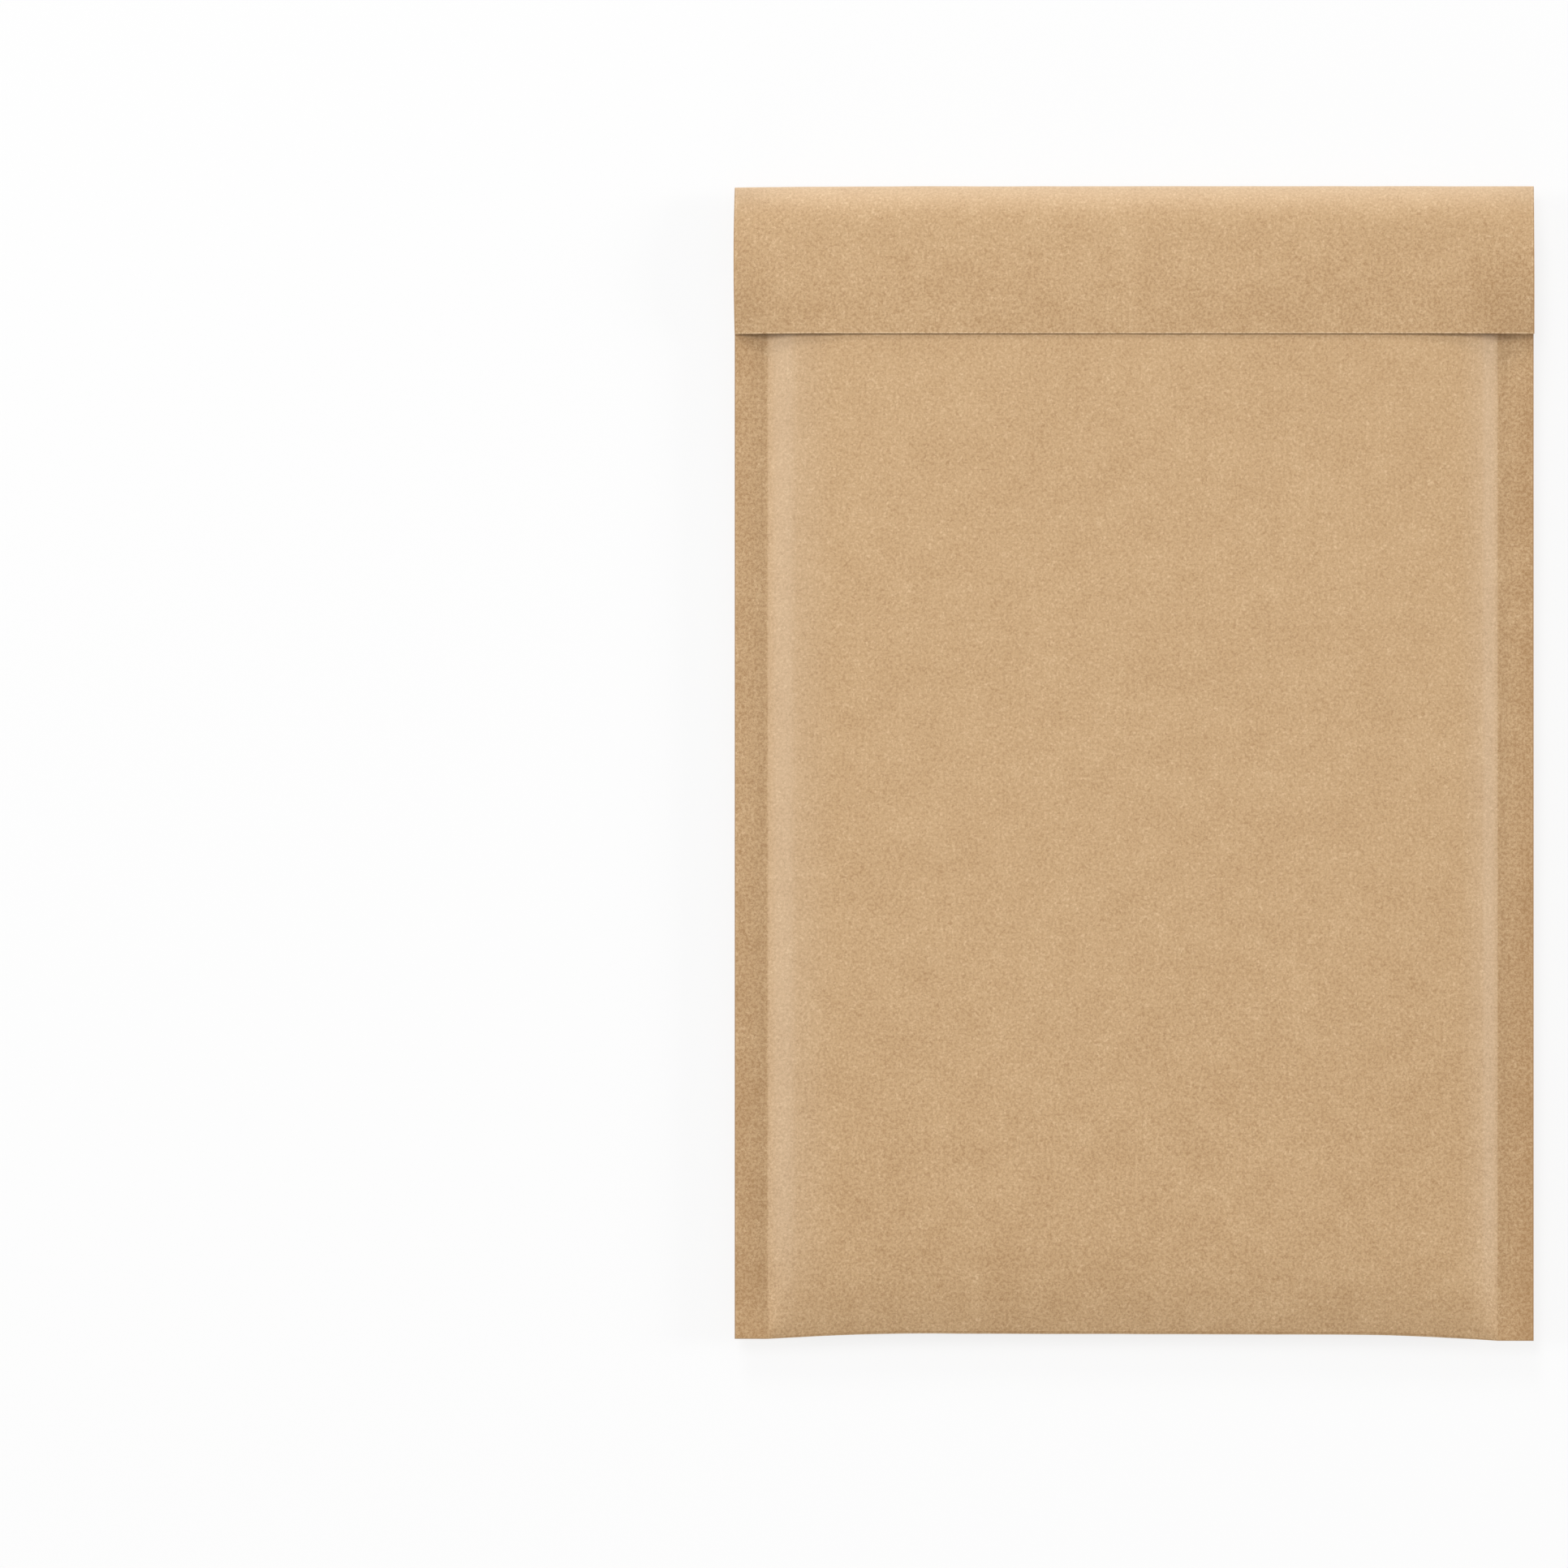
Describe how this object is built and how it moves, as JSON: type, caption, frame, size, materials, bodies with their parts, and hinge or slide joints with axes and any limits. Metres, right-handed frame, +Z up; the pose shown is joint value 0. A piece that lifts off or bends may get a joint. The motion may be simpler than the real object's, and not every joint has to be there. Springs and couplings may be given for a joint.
{
  "type": "padded envelope",
  "caption": "Bubble-lined kraft paper mailing envelope with sealed sides and its flap folded over the front, lying on its back.",
  "frame": {"origin": "middle of the envelope at the surface that its back lies on", "axes": "+Y along the length towards the folded top, +Z up out of the front panel, +X to the right as the front is read"},
  "size_m": [0.241, 0.3465, 0.0133],
  "materials": {
    "kraft": "matte brown kraft with fine fibres",
    "film": "clear polythene bubble film",
    "adhesive": "tacky hot-melt glue",
    "coated_paper": "smooth silicone-coated paper"
  },
  "bodies": {
    "root": {"kraft_paper": "kraft", "bubble_lining": "film", "adhesive_strip": "adhesive", "release_liner": "coated_paper"}
  },
  "joints": []
}
